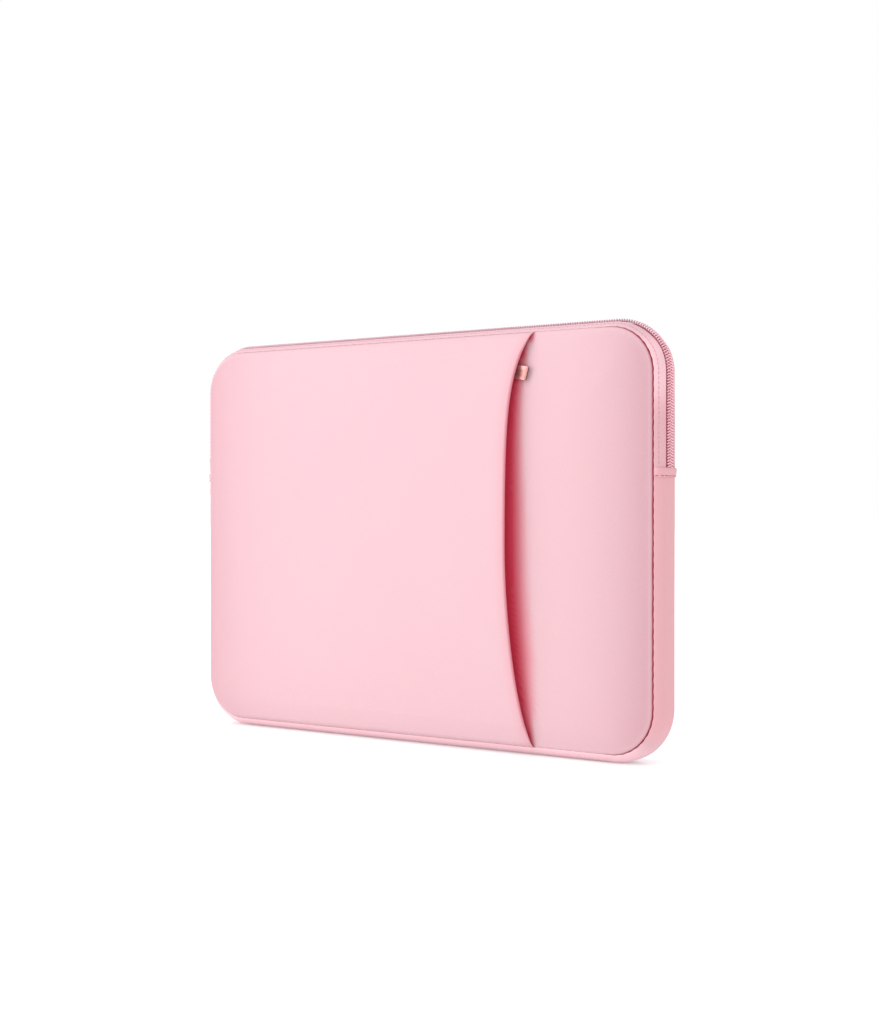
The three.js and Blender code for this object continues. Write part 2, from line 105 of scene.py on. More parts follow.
MOUTH_END_X = 93.5 * MM
MOUTH_BOW = 13.8 * MM
MOUTH_TOP_POWER = 4.5
MOUTH_DIP = 2.5 * MM
MOUTH_DIP_WIDTH = 30 * MM
POCKET_GAPE = 5 * MM
POCKET_SWELL_FROM = -150 * MM
POCKET_LAYERS = 3.95 * MM  # from the front to the pocket's outside, where it lies flat
LIP_THICKNESS = 2.8 * MM
POCKET_EASE = 14 * MM  # the seams press the pocket thinner over this far

PUCKER_PITCH = 6.4 * MM  # the seam draws the fabric in between stitches
FINE_STEP = 1.3 * MM  # between a gusset strip's stations, to follow its puckers


# ---- Surfaces, as formulas on arrays ----

def inside_seam(x, z):
    across = np.abs(x) - (SEAM_HALF_WIDTH - SEAM_RADIUS)
    along = np.abs(z - MIDDLE_Z) - (SEAM_HALF_HEIGHT - SEAM_RADIUS)
    corner = np.hypot(np.maximum(across, 0), np.maximum(along, 0))
    return SEAM_RADIUS - corner - np.minimum(np.maximum(across, along), 0)


def half_width_at(z, inset):
    radius = SEAM_RADIUS - inset
    from_end = SEAM_HALF_HEIGHT - inset - np.abs(z - MIDDLE_Z)
    rise = np.clip(radius - from_end, 0, radius)
    return SEAM_HALF_WIDTH - inset - radius + np.sqrt(radius * radius - rise * rise)


def swell(x, z):
    share = np.clip(inside_seam(x, z) / CROWN_REACH, 0, 1)
    return CROWN * (1 - (1 - share) ** 3)


def height_share(z):
    return np.maximum(1 - ((z - MIDDLE_Z) / SEAM_HALF_HEIGHT) ** 2, 0)


def mouth_x(z):
    t = np.clip(np.abs(z - MIDDLE_Z) / SEAM_HALF_HEIGHT, 0, 1)
    return MOUTH_END_X - MOUTH_BOW * (1 - t ** np.where(z > MIDDLE_Z, MOUTH_TOP_POWER, 2.0))


def unevenness(x, z, phase):
    """Slow waves of a fraction of a millimetre, as soft panels have, fading out at the seams."""
    waves = np.sin(x / 0.043 + phase) * np.sin(z / 0.036 + 2 * phase)
    waves = waves + 0.6 * np.sin(x / 0.024 + z / 0.031 + 3 * phase)
    return 0.28 * MM * waves * np.clip(inside_seam(x, z) / 0.03, 0, 1)


def front_face(x, z):
    from_mouth = (x - mouth_x(z)) / MOUTH_DIP_WIDTH
    dip = MOUTH_DIP * np.exp(-from_mouth * from_mouth) * height_share(z)
    return -(SEAM_HALF + swell(x, z)) + dip + unevenness(x, z, 0.7)


def back_face(x, z):
    return SEAM_HALF + swell(x, z) + unevenness(x, z, 2.1)


def pocket_face(x, z):
    """The outside of the pocket, which the seams press flat against the front at its edges."""
    share = np.maximum(x - POCKET_SWELL_FROM, 0) / (mouth_x(z) - POCKET_SWELL_FROM)
    gape = POCKET_GAPE * share**1.6 * height_share(z) ** 0.8
    ease = 0.6 + 0.4 * np.clip(inside_seam(x, z) / POCKET_EASE, 0, 1)
    return -(SEAM_HALF + swell(x, z)) - POCKET_LAYERS * ease - gape + unevenness(x, z, 1.3)


def gusset_profile(y):
    share = np.clip((np.abs(y) - GUSSET_FLAT) / (GUSSET_EDGE - GUSSET_FLAT), 0, None)
    return -GUSSET_FALL * share**1.7


# ---- Meshes ----

def show(name, data):
    """Puts a mesh, curve, camera or light into the scene."""
    thing = bpy.data.objects.new(name, data)
    bpy.context.scene.collection.objects.link(thing)
    return thing


def make_mesh(name, points, faces):
    mesh = bpy.data.meshes.new(name)
    mesh.from_pydata(np.asarray(points, float).reshape(-1, 3).tolist(), [], faces)
    mesh.update()
    mesh.shade_smooth()
    return show(name, mesh)


def points_of(piece):
    """Columns of x, y and z."""
    return np.array([v.co for v in piece.data.vertices]).T


def mark(piece, name, values):
    """Stores one number for each point of a piece, for its material to read."""
    spread = np.asarray(values, np.float32).ravel()
    piece.data.attributes.new(name, "FLOAT", "POINT").data.foreach_set("value", spread)


def fade(value, low, high):
    """0 at low and 1 at high, smooth in between."""
    share = np.clip((np.asarray(value, float) - low) / (high - low), 0, 1)
    return share * share * (3 - 2 * share)


def face_out(piece):
    work = bmesh.new()
    work.from_mesh(piece.data)
    bmesh.ops.recalc_face_normals(work, faces=work.faces)
    work.to_mesh(piece.data)
    work.free()
    return piece


def grid_faces(rows, columns, wrap_rows=False, wrap_columns=False, first=0):
    """Quads over a grid of points that is stored row by row."""
    row = np.arange(rows if wrap_rows else rows - 1)
    column = np.arange(columns if wrap_columns else columns - 1)
    row, column = np.meshgrid(row, column, indexing="ij")
    next_row = (row + 1) % rows
    next_column = (column + 1) % columns
    corners = (
        row * columns + column,
        row * columns + next_column,
        next_row * columns + next_column,
        next_row * columns + column,
    )
    return (np.stack([c.ravel() for c in corners], axis=1) + first).tolist()


def capped_faces(rows, columns, first=0):
    """A tube's faces, one row of points round it for each station, with a cap at each end."""
    end = first + (rows - 1) * columns
    caps = [list(range(first, first + columns)), list(range(end, end + columns))]
    return grid_faces(rows, columns, wrap_columns=True, first=first) + caps


def end_strips(rows, columns, across):
    """Quads that close both ends of a flat body, from its near points to its far ones."""
    faces = []
    for first in (0, (rows - 1) * columns):
        for i in range(across - 1):
            opposite = first + columns - 1 - i
            faces.append([first + i, first + i + 1, opposite - 1, opposite])
    return faces


def stacked(*arrays):
    return np.stack(np.broadcast_arrays(*arrays), axis=-1)


def unit(vectors):
    return vectors / np.linalg.norm(vectors, axis=1)[:, None]


# ---- Panels, as rings from the seam to the middle ----

CORNER_STEPS = 20
LONG_STEPS = 72
SHORT_STEPS = 50
LEAST_RADIUS = 6 * MM
INNERMOST = 118 * MM


def side_share(count):
    """Station shares along one side of an outline, closer together towards the corners."""
    even = np.arange(count) / count
    return even - np.sin(2 * math.pi * even) * 0.06


def outline(inset):
    """(x, z) round the seam's outline, drawn in by inset. All insets give matching stations."""
    radius = max(SEAM_RADIUS - inset, LEAST_RADIUS)
    wide = SEAM_HALF_WIDTH - inset - radius
    high = SEAM_HALF_HEIGHT - inset - radius
    centres = [(wide, high), (-wide, high), (-wide, -high), (wide, -high)]
    xs, zs = [], []
    for quarter, (x, z) in enumerate(centres):
        angle = math.pi / 2 * (quarter + np.arange(CORNER_STEPS) / CORNER_STEPS)
        xs.append(x + radius * np.cos(angle))
        zs.append(z + radius * np.sin(angle))
        end = math.pi / 2 * (quarter + 1)
        next_x, next_z = centres[(quarter + 1) % 4]
        share = side_share(LONG_STEPS if quarter % 2 == 0 else SHORT_STEPS)
        xs.append(x + (next_x - x) * share + radius * math.cos(end))
        zs.append(z + (next_z - z) * share + radius * math.sin(end))
    return np.concatenate(xs), np.concatenate(zs) + MIDDLE_Z


def along_outline():
    x, z = outline(0)
    steps = np.hypot(np.roll(x, -1) - x, np.roll(z, -1) - z)
    return np.concatenate([[0], np.cumsum(steps)[:-1]]), steps.sum()


SHADE_FROM = 0.35 * MM  # how far down in a seam the painted shade starts
SHADE_FULL = 0.9 * MM
EDGE_SHADE_REACH = 28 * MM  # how far in from the sides the painted shade reaches
STRONG_SEAM_X = (125 * MM, 178 * MM)


def seam_strength(x):
    """The seam is drawn in hardest down the right-hand side, and its painted shade is darkest there
    too.
    """
    return 0.04 + 0.96 * fade(x, *STRONG_SEAM_X) ** 1.5


def paint_edge_shade(piece):
    """Painted shade: towards the sides the panels are painted a little darker, where they turn away
    from the light.
    """
    x, _, z = points_of(piece)
    from_side = np.maximum(SEAM_HALF_WIDTH - np.abs(x), 0)
    tone = np.exp(-((from_side / EDGE_SHADE_REACH) ** 1.2))
    mark(piece, "edge_painted_shade", tone * (0.45 + 0.55 * fade(inside_seam(x, z), 1 * MM, 5 * MM)))


def pucker_wave():
    """-1 to 1 round the seam, in a whole number of stitches."""
    distance, total = along_outline()
    return np.cos(2 * math.pi * distance * round(total / PUCKER_PITCH) / total)


def roll_in(distance, width, depth):
    """How far a rolled edge turns in, at a distance from its rim: a quarter of an ellipse."""
    share = 1 - np.clip(distance / width, 0, 1)
    return depth * (1 - np.sqrt(np.maximum(1 - share * share, 0)))


def ring_insets(first, roll):
    """Insets that are close together over the rolled edge, then about 4 mm apart."""
    rolled = first + roll * (1 - np.cos(np.linspace(0, math.pi / 2, 9)))
    flat = np.arange(rolled[-1] + 1.5 * MM, first + 16 * MM, 2 * MM)
    middle = np.linspace(first + 17.5 * MM, INNERMOST, 28)
    return np.concatenate([rolled, flat, middle])


def panel_slab(name, face, inwards, depth, thickness, inset, roll, roll_depth, pucker=0.0):
    """A closed panel layer: its outside from the middle to the rim, then its inside back."""
    wave = pucker_wave()
    insets = ring_insets(inset, roll)
    outside, inside, shades = [], [], []
    for ring in insets:
        x, z = outline(ring)
        sunk = depth + roll_in(ring - inset, roll, roll_depth) * (0.15 + 0.85 * seam_strength(x))
        drawn_in = pucker * (1 + wave) * math.exp(-(ring - inset) / (2.2 * MM))
        sunk = sunk + drawn_in * seam_strength(x)
        outside.append(stacked(x, face(x, z) + inwards * sunk, z))
        # painted shade, deeper as the rim sinks into the seam
        shades.append(fade(sunk - depth, SHADE_FROM, SHADE_FULL) * seam_strength(x))
        inner = ring + 0.3 * thickness * math.exp(-(ring - inset) / roll)
        x, z = outline(min(inner, INNERMOST))
        inside.append(stacked(x, face(x, z) + inwards * (sunk + thickness), z))
    rings = np.array(outside[::-1] + inside)
    slab = face_out(make_mesh(name, rings, capped_faces(*rings.shape[:2])))
    mark(slab, "seam_painted_shade", np.concatenate([shades[::-1], np.ones_like(shades)]))
    paint_edge_shade(slab)
    return slab


# ---- Sweeps along the gusset's ridge ----

def arch(leg_z, over, spacing=2.5 * MM, at=None):
    """Stations from leg_z on the right, over the top or under the bottom, to leg_z on the left.

    Returns their distances and columns of x, z and the outward direction's x and z.
    """
    sign = 1 if over else -1
    corner_z = HEIGHT - CREST_RADIUS if over else CREST_RADIUS
    leg = abs(corner_z - leg_z)
    quarter = math.pi / 2 * CREST_RADIUS
    total = 2 * (leg + quarter + HALF_WIDTH - CREST_RADIUS)
    if at is None:
        at = np.linspace(0, total, math.ceil(total / spacing) + 1)
    from_end = np.minimum(at, total - at)
    side = np.where(at <= total / 2, 1, -1)
    angle = np.clip((from_end - leg) / CREST_RADIUS, 0, math.pi / 2)
    past_corner = np.maximum(from_end - leg - quarter, 0)
    x = HALF_WIDTH - CREST_RADIUS + CREST_RADIUS * np.cos(angle) - past_corner
    z = leg_z + sign * (np.minimum(from_end, leg) + CREST_RADIUS * np.sin(angle))
    return at, stacked(side * x, z, side * np.cos(angle), sign * np.sin(angle))


def arch_length(leg_z, over):
    return arch(leg_z, over)[0][-1]


def sweep(name, section, stations, closed=False, shift=0):
    """A closed body: a section in (y, out) along stations, with an optional shift of out."""
    y, out = np.array(section).T
    x, z, out_x, out_z = (stations[:, i : i + 1] for i in range(4))
    out = out + shift
    points = stacked(x + out_x * out, y, z + out_z * out)
    rows, columns = points.shape[:2]
    ring = grid_faces(rows, columns, wrap_rows=True, wrap_columns=True)
    return face_out(make_mesh(name, points, ring if closed else capped_faces(rows, columns)))


def ring_stations():
    over = arch(MIDDLE_Z, True)[1]
    under = arch(MIDDLE_Z, False)[1][::-1]
    return np.concatenate([over[:-1], under[:-1]])


def rounded_bar(y_from, y_to, low, high, radius, steps=4):
    """A rectangle with rounded corners, as points round it."""
    left, right, bottom, top = y_from + radius, y_to - radius, low + radius, high - radius
    corners = [(right, top), (left, top), (left, bottom), (right, bottom)]
    points = []
    for quarter, (y, out) in enumerate(corners):
        for step in range(steps + 1):
            angle = math.pi / 2 * (quarter + step / steps)
            points.append((y + radius * math.cos(angle), out + radius * math.sin(angle)))
    return points


# ---- Materials ----

class Nodes:
    """Short calls for building one material's node tree."""

    def __init__(self, name):
        self.material = bpy.data.materials.new(name)
        self.material.use_nodes = True
        self.tree = self.material.node_tree
        self.shader = self.tree.nodes["Principled BSDF"]
        self.place = self.add("ShaderNodeTexCoord").outputs["Object"]

    def add(self, kind, inputs=None, **settings):
        node = self.tree.nodes.new(kind)
        for key, value in settings.items():
            setattr(node, key, value)
        for key, value in (inputs or {}).items():
            self.put(node.inputs[key], value)
        return node

    def put(self, socket, value):
        if isinstance(value, bpy.types.NodeSocket):
            self.tree.links.new(value, socket)
        else:
            socket.default_value = value

    def set(self, **values):
        for key, value in values.items():
            self.put(self.shader.inputs[key.replace("_", " ")], value)

    def noise(self, scale, detail=3.0, where=None):
        inputs = {"Vector": where or self.place, "Scale": scale, "Detail": detail}
        inputs["Roughness"] = 0.55
        return self.add("ShaderNodeTexNoise", inputs).outputs["Fac"]

    def wave(self, scale, direction, distortion=0.0):
        inputs = {"Vector": self.place, "Scale": scale, "Distortion": distortion}
        node = self.add("ShaderNodeTexWave", inputs, wave_type="BANDS", bands_direction=direction)
        return node.outputs["Fac"]

    def cells(self, scale):
        inputs = {"Vector": self.place, "Scale": scale}
        return self.add("ShaderNodeTexVoronoi", inputs).outputs["Distance"]

    def math(self, operation, a, b=0.0):
        node = self.add("ShaderNodeMath", operation=operation)
        self.put(node.inputs[0], a)
        self.put(node.inputs[1], b)
        return node.outputs[0]

    def ramp(self, value, low, high, to_low=0.0, to_high=1.0):
        inputs = {0: value, 1: low, 2: high, 3: to_low, 4: to_high}
        return self.add("ShaderNodeMapRange", inputs).outputs[0]

    def mix(self, factor, a, b, blend="MIX"):
        node = self.add("ShaderNodeMix", data_type="RGBA", blend_type=blend)
        self.put(node.inputs["Factor"], factor)
        self.put(node.inputs[6], a)
        self.put(node.inputs[7], b)
        return node.outputs[2]

    def grey(self, value):
        return self.add("ShaderNodeCombineColor", {0: value, 1: value, 2: value}).outputs[0]

    def attribute(self, name):
        node = self.add("ShaderNodeAttribute", attribute_type="GEOMETRY")
        node.attribute_name = name
        return node.outputs["Fac"]

    def bump(self, *layers):
        """Layers are (height, strength, distance), from the broadest to the finest."""
        normal = None
        for height, strength, distance in layers:
            inputs = {"Height": height, "Strength": strength, "Distance": distance}
            if normal is not None:
                inputs["Normal"] = normal
            normal = self.add("ShaderNodeBump", inputs).outputs[0]
        self.put(self.shader.inputs["Normal"], normal)


def rgb(red, green, blue):
    return (red, green, blue, 1.0)


OUTER_PINK = rgb(0.640, 0.415, 0.455)
OUTER_PINK_WARM = rgb(0.645, 0.400, 0.432)
OUTER_PINK_COOL = rgb(0.632, 0.425, 0.470)
# painted shade towards the panels' sides
EDGE_SHADE_TONE = rgb(0.815, 0.71, 0.735)
# painted shadow in the pocket, and the deep rose of the pocket's inside
POCKET_SHADOW_ROSE = rgb(0.66, 0.050, 0.100)
# painted shade in the seams
SEAM_SHADE_ROSE = rgb(0.40, 0.020, 0.062)
GUSSET_PINK = rgb(0.683, 0.362, 0.395)
GUSSET_PINK_WARM = rgb(0.688, 0.348, 0.376)
GUSSET_PINK_COOL = rgb(0.673, 0.371, 0.409)
LINING_ROSE = rgb(0.72, 0.10, 0.16)
# painted shade on the tag
PAINTED_SHADE_BROWN = rgb(0.14, 0.06, 0.05)
ZIP_PINK = rgb(0.60, 0.13, 0.20)


def knit(nodes, scale=1.0):
    """Height of a fine knitted face: rows of small loops, a third of a millimetre apart."""
    rows = nodes.wave(940 * scale, "Z", 1.2)
    columns = nodes.wave(760 * scale, "X", 1.2)
    loops = nodes.math("MULTIPLY", nodes.cells(2100 * scale), 0.6)
    return nodes.math("ADD", nodes.math("MULTIPLY", rows, columns), loops)


def outer_fabric(name, plain, warm, cool):
    nodes = Nodes(name)
    tone = nodes.mix(0.5, nodes.mix(nodes.noise(26.0), warm, cool), plain)
    # painted shade: darker towards the panels' sides
    at_edge = nodes.mix(1.0, tone, EDGE_SHADE_TONE, "MULTIPLY")
    tone = nodes.mix(nodes.attribute("edge_painted_shade"), tone, at_edge)
    # the panels' paler pink: painted light where the gusset strips face up or down, the zip strips'
    # own paleness elsewhere
    tone = nodes.mix(nodes.attribute("panel_pink_and_painted_light"), tone, OUTER_PINK)
    # painted light and shade on the gusset strips, as a change of brightness
    shift = nodes.grey(nodes.math("ADD", nodes.attribute("painted_light_shift"), 1.0))
    tone = nodes.mix(1.0, tone, shift, "MULTIPLY")
    fleck = nodes.ramp(nodes.noise(2600.0, 1.0), 0.35, 0.65, 0.965, 1.02)
    tone = nodes.mix(1.0, tone, nodes.grey(fleck), "MULTIPLY")
    # painted shadow in the pocket, and the deep rose of its inside
    tone = nodes.mix(nodes.attribute("pocket_rose_and_painted_shadow"), tone, POCKET_SHADOW_ROSE)
    # painted shade in the seams
    tone = nodes.mix(nodes.attribute("seam_painted_shade"), tone, SEAM_SHADE_ROSE)
    nodes.set(Base_Color=tone, Roughness=0.75, Sheen_Weight=0.06, Sheen_Roughness=0.5)
    nodes.set(Specular_IOR_Level=0.2)
    nodes.bump(
        (nodes.noise(48.0, 2.0), 0.12, 1.2 * MM),
        (nodes.noise(420.0, 2.0), 0.10, 0.25 * MM),
        (knit(nodes), 0.16, 0.12 * MM),
    )
    return nodes.material


def lining_fabric():
    nodes = Nodes("lining_fabric")
    tone = nodes.mix(nodes.noise(40.0), LINING_ROSE, rgb(0.76, 0.13, 0.20))
    nodes.set(Base_Color=tone, Roughness=0.85, Sheen_Weight=0.4, Sheen_Roughness=0.4)
    nodes.set(Specular_IOR_Level=0.2)
    nodes.bump((nodes.noise(300.0, 3.0), 0.3, 0.3 * MM), (knit(nodes, 0.8), 0.25, 0.15 * MM))
    return nodes.material


def foam():
    nodes = Nodes("foam")
    pores = nodes.cells(1300.0)
    tone = nodes.mix(pores, rgb(0.72, 0.66, 0.66), rgb(0.86, 0.82, 0.82))
    nodes.set(Base_Color=tone, Roughness=0.95)
    nodes.bump((pores, 0.5, 0.3 * MM))
    return nodes.material


def zip_nylon():
    nodes = Nodes("zip_coil")
    tone = nodes.mix(nodes.noise(300.0), rgb(0.90, 0.48, 0.56), rgb(0.93, 0.54, 0.61))
    # painted shade: greyer where the coil runs over the top
    tone = nodes.mix(nodes.attribute("top_painted_shade"), tone, rgb(0.82, 0.62, 0.68))
    nodes.set(Base_Color=tone, Roughness=nodes.ramp(nodes.noise(900.0), 0.3, 0.7, 0.34, 0.46))
    nodes.set(Specular_IOR_Level=0.5)
    nodes.bump((nodes.noise(1500.0), 0.08, 0.05 * MM))
    return nodes.material


def ribbed(name, dark, light, ribs, bump, fuzz=None, **look):
    """Tape or thread in two tones: diagonal ribs, given as a scale and how uneven they are."""
    nodes = Nodes(name)
    height = nodes.wave(ribs[0], "DIAGONAL", ribs[1])
    nodes.set(Base_Color=nodes.mix(height, dark, light), **look)
    layers = [(height, *bump)]
    if fuzz:
        layers.append((nodes.noise(2400.0), *fuzz))
    nodes.bump(*layers)
    return nodes.material


def plated_metal(name, tone, polish, brushed, metallic=1.0):
    nodes = Nodes(name)
    wear = nodes.noise(240.0, 4.0)
    darker = tuple(0.9 * part for part in tone[:3]) + (1.0,)
    worn = nodes.mix(nodes.ramp(wear, 0.35, 0.7), tone, darker)
    # painted shade, on the tag only
    tone = nodes.mix(nodes.attribute("tag_painted_shade"), worn, PAINTED_SHADE_BROWN)
    nodes.set(Base_Color=tone, Metallic=metallic)
    nodes.set(Roughness=nodes.ramp(wear, 0.3, 0.7, polish, polish + 0.08))
    grain = nodes.add("ShaderNodeMapping", {"Vector": nodes.place, "Scale": (60.0, 60.0, 4000.0)})
    nodes.bump((nodes.noise(1.0, 2.0, where=grain.outputs[0]), brushed, 0.02 * MM))
    return nodes.material


THREAD = dict(ribs=(1900.0, 0.0), bump=(0.4, 0.06 * MM), Roughness=0.55, Sheen_Weight=0.15)
MATERIALS = {
    "outer": outer_fabric("outer_fabric", OUTER_PINK, OUTER_PINK_WARM, OUTER_PINK_COOL),
    "gusset": outer_fabric("gusset_fabric", GUSSET_PINK, GUSSET_PINK_WARM, GUSSET_PINK_COOL),
    "lining": lining_fabric(),
    "foam": foam(),
    "tape": ribbed(
        "zip_tape", ZIP_PINK, rgb(0.66, 0.19, 0.27), (620.0, 0.3), (0.5, 0.15 * MM),
        fuzz=(0.2, 0.05 * MM), Roughness=0.8, Sheen_Weight=0.2, Specular_IOR_Level=0.25,
    ),
    "coil": zip_nylon(),
    "binding": ribbed(
        "binding_tape", rgb(0.56, 0.16, 0.22), rgb(0.64, 0.24, 0.30), (900.0, 0.2),
        (0.5, 0.15 * MM), Roughness=0.82, Sheen_Weight=0.2,
    ),
    "thread": ribbed("sewing_thread", rgb(0.50, 0.26, 0.31), rgb(0.60, 0.34, 0.39), **THREAD),
    "deep_thread": ribbed("rose_thread", rgb(0.30, 0.07, 0.11), rgb(0.40, 0.12, 0.17), **THREAD),
    "tag": plated_metal("tag_metal", rgb(0.60, 0.28, 0.265), 0.3, 0.05, 0.6),
    "plated": plated_metal("plated_metal", rgb(0.62, 0.43, 0.37), 0.28, 0.08),
}


# ---- Dressing a piece: material and the nodes it stands for; tying it to the root's body, or baking its place into the mesh ----

def paint(piece, material):
    piece.data.materials.clear()
    piece.data.materials.append(MATERIALS[material])


def dress(piece, material, slot, *nodes):
    paint(piece, material)
    if nodes:
        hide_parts(*nodes)


def ride_root(piece):
    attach(piece, "root")


def fold_with_flap(piece):
    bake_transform(piece)


# ---- Panels ----

SHELL_ROLL = dict(inset=0.2 * MM, roll=2.0 * MM, roll_depth=3.2 * MM, pucker=0.16 * MM)
FOAM_ROLL = dict(inset=3.6 * MM, roll=2 * MM, roll_depth=0.8 * MM)
LINING_ROLL = dict(inset=1.2 * MM, roll=1.5 * MM, roll_depth=0.4 * MM)
FOAM_DEPTH = COVER + LAYER_GAP
LINING_DEPTH = FOAM_DEPTH + FOAM + LAYER_GAP


# Painted shadow inside the pocket: how far past the mouth it reaches, at each height.
SHADE_HEIGHTS = np.array([5, 13, 30, 60, 90, 150, 180, 210, 233, 239, 245]) * MM
SHADE_REACHES = np.array([1.2, 3, 9, 14, 13.5, 12, 10, 8.5, 5.5, 4, 1.8]) * MM


def shade_in_pocket(cover):
    """Painted shadow: the front is painted deep rose inside the pocket, fading out just past its
    mouth.
    """
    x, _, z = points_of(cover)
    reach = np.interp(z, SHADE_HEIGHTS, SHADE_REACHES)
    mark(cover, "pocket_rose_and_painted_shadow", np.clip(1 - (x - mouth_x(z) + 1 * MM) / reach, 0, 1))


def make_panel(word, face, inwards, endings, move):
    """One face of the sleeve: outer fabric, foam and lining, each standing for its CAD nodes."""
    cover = panel_slab(f"{word}_cover", face, inwards, 0, COVER, **SHELL_ROLL)
    if word == "front":
        shade_in_pocket(cover)
    dress(cover, "outer", "outer_fabric", *(f"{word}_shell{e}" for e in endings))
    foam_pad = panel_slab(f"{word}_foam", face, inwards, FOAM_DEPTH, FOAM, **FOAM_ROLL)
    dress(foam_pad, "foam", "foam", *(f"{word}_padding{e}" for e in endings))
    lining_name = f"{word}_lining_cloth"
    cloth = panel_slab(lining_name, face, inwards, LINING_DEPTH, LINING, **LINING_ROLL)
    dress(cloth, "lining", "lining_fabric", *(f"{word}_lining{e}" for e in endings))
    for piece in (cover, foam_pad, cloth):
        move(piece)


# ---- Pocket ----

POCKET_INSET = 0.25 * MM
POCKET_ROLL = 3.4 * MM
POCKET_ROLL_DEPTH = 4.4 * MM
POCKET_ROWS = 180
POCKET_COLUMNS = 150
LIP_STEPS = 10
LIP_PAINTED_SHADE = 0.16  # painted shade: how far the pocket's outside is painted deeper at its mouth
POCKET_CLOSES = (6.5 * MM, 14 * MM)  # where, in from the mouth, its lining comes down to the front


def pocket_thickness(x, z):
    return LIP_THICKNESS * (0.35 + 0.65 * np.clip(inside_seam(x, z) / POCKET_EASE, 0, 1))


def pocket_roll(x, z):
    return roll_in(inside_seam(x, z) - POCKET_INSET, POCKET_ROLL, POCKET_ROLL_DEPTH)


def pocket_sheet(x, z, depth):
    """The pocket's surface at a depth below its outside, rolled in at the seams."""
    return pocket_face(x, z) + depth + pocket_roll(x, z) * (0.6 + 0.4 * seam_strength(x))


def pocket_rows(inset):
    t = np.linspace(0, 1, POCKET_ROWS)
    t = (1 - np.cos(math.pi * t)) / 2
    return SEAM_LOW + inset + (SEAM_HIGH - SEAM_LOW - 2 * inset) * t


def make_pocket_cover():
    z = pocket_rows(POCKET_INSET)[:, None]
    share = (1 - np.cos(math.pi * np.linspace(0, 1, POCKET_COLUMNS))) / 2
    left = -half_width_at(z, POCKET_INSET)
    right = np.minimum(mouth_x(z), half_width_at(z, POCKET_INSET))
    half = pocket_thickness(right, z) / 2
    x = left + (right - half - left) * share[None, :]
    outside = stacked(x, pocket_sheet(x, z, 0), z)
    inside = stacked(x, pocket_sheet(x, z, pocket_thickness(x, z)), z)[:, ::-1]
    angle = np.linspace(-math.pi / 2, math.pi / 2, LIP_STEPS + 2)[1:-1][None, :]
    lip_middle = pocket_sheet(right - half, z, half)
    lip = stacked(right - half + half * np.cos(angle), lip_middle + half * np.sin(angle), z)
    points = np.concatenate([outside, lip, inside], axis=1)
    rows, columns = points.shape[:2]
    faces = grid_faces(rows, columns, wrap_columns=True)
    faces += end_strips(rows, columns, POCKET_COLUMNS)
    for first in (0, (rows - 1) * columns):
        faces.append([first + POCKET_COLUMNS - 1 + i for i in range(LIP_STEPS + 2)])
    cover = face_out(make_mesh("pocket_cover", points, faces))
    x, z = points[..., 0], points[..., 2]
    # painted shade where the pocket rolls into the seam
    mark(cover, "seam_painted_shade", fade(pocket_roll(x, z), 1.9 * MM, 3.0 * MM) * seam_strength(x))
    # Painted shade on the pocket's outside near the mouth, rising round the lip to the deep rose of
    # its inside.
    rose_and_painted_shade = LIP_PAINTED_SHADE * np.exp(-(((right - x) / (5 * MM)) ** 2))
    inwards = np.linspace(0, 1, LIP_STEPS)[None, :]
    around_lip = LIP_PAINTED_SHADE + (1 - LIP_PAINTED_SHADE) * inwards * np.clip(height_share(z[:, :1]) / 0.2, 0.1, 1)
    rose_and_painted_shade[:, POCKET_COLUMNS : POCKET_COLUMNS + LIP_STEPS] = around_lip
    rose_and_painted_shade[:, POCKET_COLUMNS + LIP_STEPS :] = 1
    mark(cover, "pocket_rose_and_painted_shadow", rose_and_painted_shade)
    paint_edge_shade(cover)
    return cover


CLOTH_INSET = 4 * MM  # the pocket's lining, from the seam
CLOTH_BACK = 5 * MM  # and in from the mouth
CLOTH_COLUMNS = 90
CLOTH_THICKNESS = 0.5 * MM
CLOTH_CLEARANCE = 0.4 * MM  # above the front


def make_pocket_lining():
    z = pocket_rows(CLOTH_INSET)[:, None]
    share = np.sin(math.pi / 2 * np.linspace(0, 1, CLOTH_COLUMNS))[None, :]
    half = half_width_at(z, CLOTH_INSET)
    x = (np.minimum(mouth_x(z), half) - CLOTH_BACK + half) * share - half
    near = pocket_sheet(x, z, pocket_thickness(x, z) + 0.1 * MM)
    far = near + CLOTH_THICKNESS
    gap = np.maximum(front_face(x, z) - far - CLOTH_CLEARANCE, 0)
    far = far + gap * fade(mouth_x(z) - x, *POCKET_CLOSES)
    points = np.concatenate([stacked(x, near, z), stacked(x, far, z)[:, ::-1]], axis=1)
    rows, columns = points.shape[:2]
    faces = grid_faces(rows, columns, wrap_columns=True)
    faces += end_strips(rows, columns, CLOTH_COLUMNS)
    return face_out(make_mesh("pocket_lining_cloth", points, faces))


def make_pocket():
    cover = make_pocket_cover()
    dress(cover, "outer", "outer_fabric", "pocket_panel_lower", "pocket_panel_upper")
    cloth = make_pocket_lining()
    dress(cloth, "lining", "lining_fabric", "pocket_lining_lower", "pocket_lining_upper")
    for piece in (cover, cloth):
        fold_with_flap(piece)


# ---- Gusset ----

GUSSET_LINING_WIDTH = 11.2 * MM
STRIP_SAG = 1.9 * MM
COIL_SAG = 0.4 * MM
UNDER_PAINTED_LIGHT = 0.34  # painted light: brighter by this share along the bottom
# painted shade: darker by this share over the top
OVER_PAINTED_SHADE = -0.02
CORNER_PAINTED_LIGHT = 0.24  # painted light: the strips beside the zip are brighter round the corners
CORNER_RISE = (203 * MM, 226 * MM)  # the heights that it comes in over
STRIP_PALENESS = 0.35  # and everywhere this far towards the panels' pink


def pucker_along(distance):
    return np.cos(2 * math.pi * distance / PUCKER_PITCH)[:, None]


